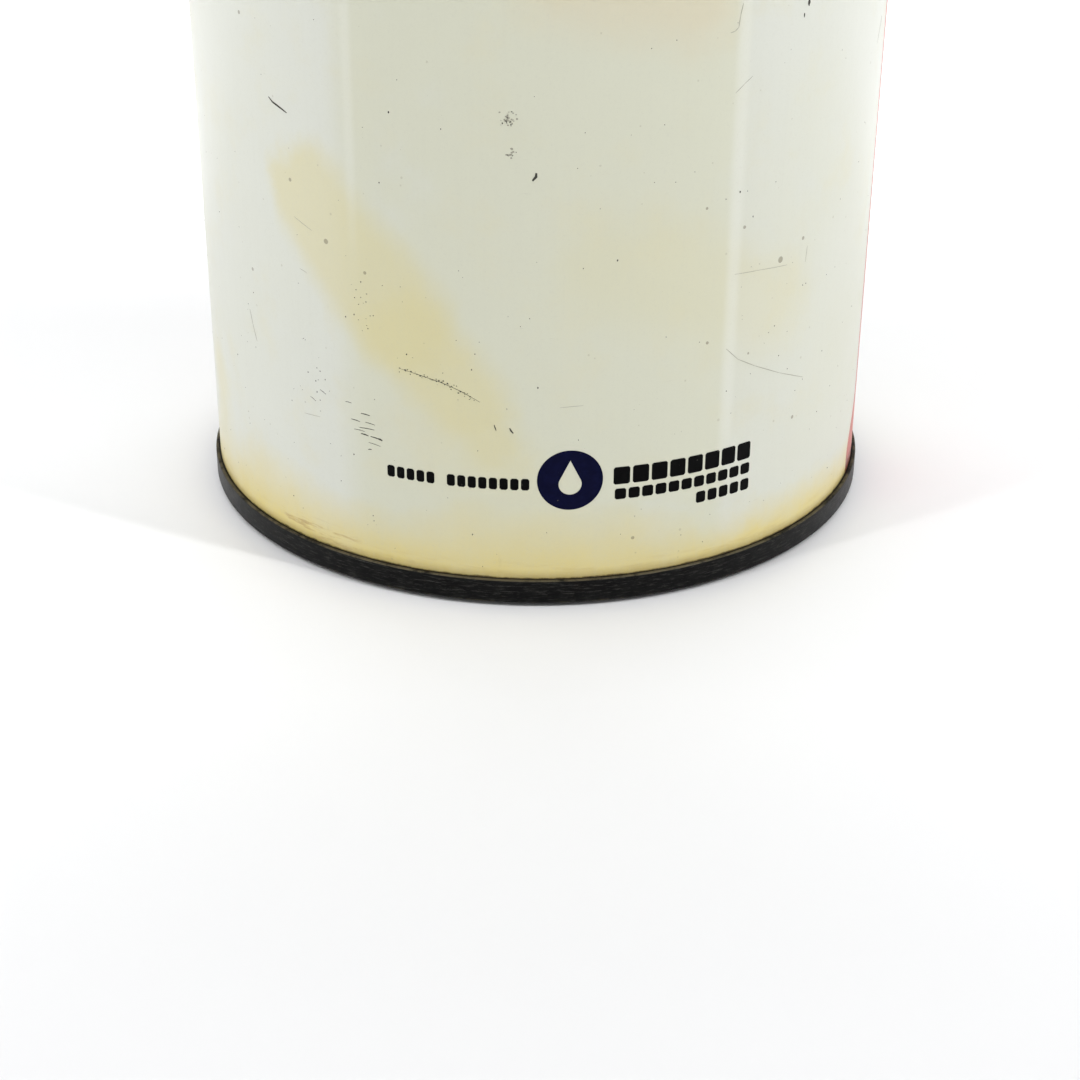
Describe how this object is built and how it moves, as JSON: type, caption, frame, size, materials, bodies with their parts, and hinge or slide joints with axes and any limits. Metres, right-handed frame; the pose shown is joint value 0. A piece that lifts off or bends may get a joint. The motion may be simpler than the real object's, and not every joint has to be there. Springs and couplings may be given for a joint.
{
  "type": "spin-on oil filter",
  "caption": "Full-flow spin-on engine oil filter: drawn can with rolled seam, gasket, threaded plate, pleated element, bypass valve and drain-back flap.",
  "frame": {"origin": "centre of the gasket's sealing face, on the thread axis, where the filter also stands", "axes": "+Z along the thread axis from the open end to the domed end of the can; X and Y are free, because the body is round"},
  "size_m": [0.093, 0.093, 0.1315],
  "materials": {
    "white_enamel": "gloss",
    "dark_steel": "satin",
    "sealing_compound": "matte",
    "plate_steel": "satin",
    "gasket_rubber": "satin",
    "valve_rubber": "matte",
    "tinplate": "satin",
    "tube_steel": "satin",
    "plated_steel": "satin",
    "spring_steel": "satin",
    "filter_paper": "matte",
    "element_adhesive": "matte"
  },
  "bodies": {
    "housing": {"can": "white_enamel", "seaming_lid": "dark_steel", "seam_sealant": "sealing_compound", "tapping_plate": "plate_steel", "base_gasket": "gasket_rubber"},
    "element": {"bottom_end_cap": "tinplate", "bottom_potting": "element_adhesive", "center_tube": "tube_steel", "filter_media": "filter_paper", "media_seam_clip": "tube_steel", "top_potting": "element_adhesive", "top_end_cap": "tinplate", "bypass_valve_housing": "plated_steel", "bypass_spring_retainer": "plated_steel", "spring_seat": "plated_steel", "element_spring": "spring_steel"},
    "bypass_poppet": {"bypass_valve_plate": "plated_steel", "bypass_valve_facing": "valve_rubber", "bypass_valve_stem": "plated_steel", "bypass_valve_spring": "spring_steel"},
    "drainback_flap": {"anti_drainback_valve": "valve_rubber"}
  },
  "joints": [
    {"name": "element_lift", "type": "slide", "parent": "housing", "child": "element", "axis": [0, 0, 1], "range_m": [0, 0.003], "stiffness_N_per_m": 4000, "springref_m": -0.015, "deforming": ["element_spring"]},
    {"name": "bypass_open", "type": "slide", "parent": "element", "child": "bypass_poppet", "axis": [0, 0, -1], "range_m": [0, 0.003], "stiffness_N_per_m": 2000, "springref_m": -0.008, "deforming": ["bypass_valve_spring"]},
    {"name": "drainback_flap_lift", "type": "slide", "parent": "housing", "child": "drainback_flap", "axis": [0, 0, 1], "range_m": [0, 0.0015], "stiffness_N_per_m": 400, "springref_m": -0.002, "deforming": ["anti_drainback_valve"]}
  ]
}
